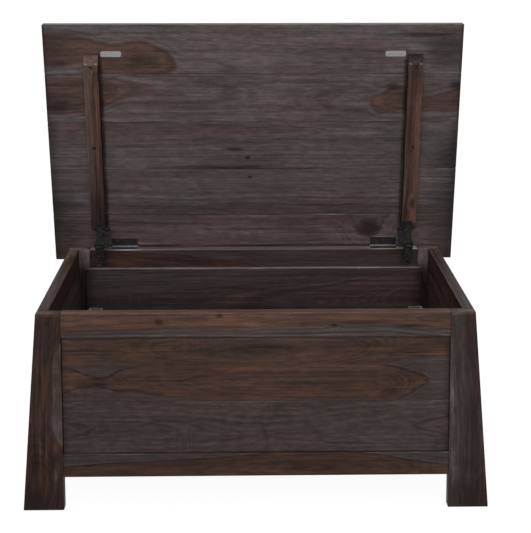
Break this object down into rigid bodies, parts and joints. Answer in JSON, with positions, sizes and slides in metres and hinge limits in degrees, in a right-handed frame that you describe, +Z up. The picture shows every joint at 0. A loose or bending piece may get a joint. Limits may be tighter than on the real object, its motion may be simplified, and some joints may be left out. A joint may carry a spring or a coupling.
{
  "type": "storage trunk",
  "caption": "Dark wooden storage trunk with plank legs that widen to the floor, framed panels and an overhanging hinged plank lid on folding stays, standing open.",
  "frame": {"origin": "on the floor, under the middle of the open trunk's box", "axes": "+Z up, the front faces -Y, +X to the right of someone facing the front"},
  "size_m": [1.0288, 0.5615, 1.0155],
  "materials": {
    "lid_wood": "dark grey-brown stain, satin",
    "batten_wood": "reddish brown stain, satin",
    "leg_wood": "dark reddish brown stain, satin",
    "rail_wood": "reddish brown stain, satin",
    "panel_wood": "dark brown and grey figure, satin",
    "inside_wood": "dark stain, matt",
    "black_steel": "black, satin",
    "dark_steel": "darkened steel",
    "zinc": "zinc plated",
    "grey_plastic": "grey plastic"
  },
  "bodies": {
    "carcass": {"leg_front_left": "leg_wood", "leg_front_right": "leg_wood", "leg_back_left": "leg_wood", "leg_back_right": "leg_wood", "front_top_rail": "rail_wood", "front_bottom_rail": "rail_wood", "back_top_rail": "rail_wood", "back_bottom_rail": "rail_wood", "left_top_rail": "rail_wood", "left_bottom_rail": "rail_wood", "right_top_rail": "rail_wood", "right_bottom_rail": "rail_wood", "front_panel_upper": "panel_wood", "front_panel_lower": "panel_wood", "back_panel_upper": "panel_wood", "back_panel_lower": "panel_wood", "left_panel_upper": "panel_wood", "left_panel_lower": "panel_wood", "right_panel_upper": "panel_wood", "right_panel_lower": "panel_wood", "floor_board_1": "inside_wood", "floor_board_2": "inside_wood", "floor_board_3": "inside_wood", "floor_cleat_front": "inside_wood", "floor_cleat_back": "inside_wood", "catch_left": "grey_plastic", "catch_right": "grey_plastic", "hinge_rim_leaf_left": "dark_steel", "hinge_rim_leaf_right": "dark_steel", "hinge_pin_left": "dark_steel", "hinge_pin_right": "dark_steel", "stay_base_left": "black_steel", "stay_base_right": "black_steel", "stay_base_rivet_left": "black_steel", "stay_base_rivet_right": "black_steel"},
    "lid": {"lid_board_1": "lid_wood", "lid_board_2": "lid_wood", "lid_board_3": "lid_wood", "lid_board_4": "lid_wood", "lid_board_5": "lid_wood", "lid_batten_left": "batten_wood", "lid_batten_right": "batten_wood", "hinge_lid_leaf_left": "dark_steel", "hinge_lid_leaf_right": "dark_steel", "batten_screw_left_1": "dark_steel", "batten_screw_left_2": "dark_steel", "batten_screw_right_1": "dark_steel", "batten_screw_right_2": "dark_steel", "strike_plate_left": "zinc", "strike_plate_right": "zinc", "stay_lid_bracket_left": "black_steel", "stay_lid_bracket_right": "black_steel", "stay_lid_rivet_left": "black_steel", "stay_lid_rivet_right": "black_steel"},
    "stay_arm_left": {"stay_arm_left": "black_steel", "stay_knee_rivet_left": "black_steel"},
    "stay_link_left": {"stay_link_left": "black_steel"},
    "stay_arm_right": {"stay_arm_right": "black_steel", "stay_knee_rivet_right": "black_steel"},
    "stay_link_right": {"stay_link_right": "black_steel"}
  },
  "joints": [
    {"name": "lid_hinge", "type": "hinge", "parent": "carcass", "child": "lid", "pos_m": [0, 0.25299, 0.4575], "axis": [1, 0, 0], "range_deg": [0, 86]},
    {"name": "stay_base_pivot_left", "type": "hinge", "parent": "carcass", "child": "stay_arm_left", "pos_m": [-0.384, 0.21539, 0.427], "axis": [1, 0, 0], "range_deg": [0, 86]},
    {"name": "stay_knee_pivot_left", "type": "hinge", "parent": "stay_arm_left", "child": "stay_link_left", "pos_m": [-0.384, 0.18481, 0.483], "axis": [1, 0, 0], "range_deg": [-86, 0]},
    {"name": "stay_base_pivot_right", "type": "hinge", "parent": "carcass", "child": "stay_arm_right", "pos_m": [0.384, 0.21539, 0.427], "axis": [1, 0, 0], "range_deg": [0, 86]},
    {"name": "stay_knee_pivot_right", "type": "hinge", "parent": "stay_arm_right", "child": "stay_link_right", "pos_m": [0.384, 0.18481, 0.483], "axis": [1, 0, 0], "range_deg": [-86, 0]}
  ],
  "couplings": [
    {"joint": "stay_base_pivot_left", "follows": "lid_hinge", "ratio": 1},
    {"joint": "stay_knee_pivot_left", "follows": "lid_hinge", "ratio": -1},
    {"joint": "stay_base_pivot_right", "follows": "lid_hinge", "ratio": 1},
    {"joint": "stay_knee_pivot_right", "follows": "lid_hinge", "ratio": -1}
  ]
}
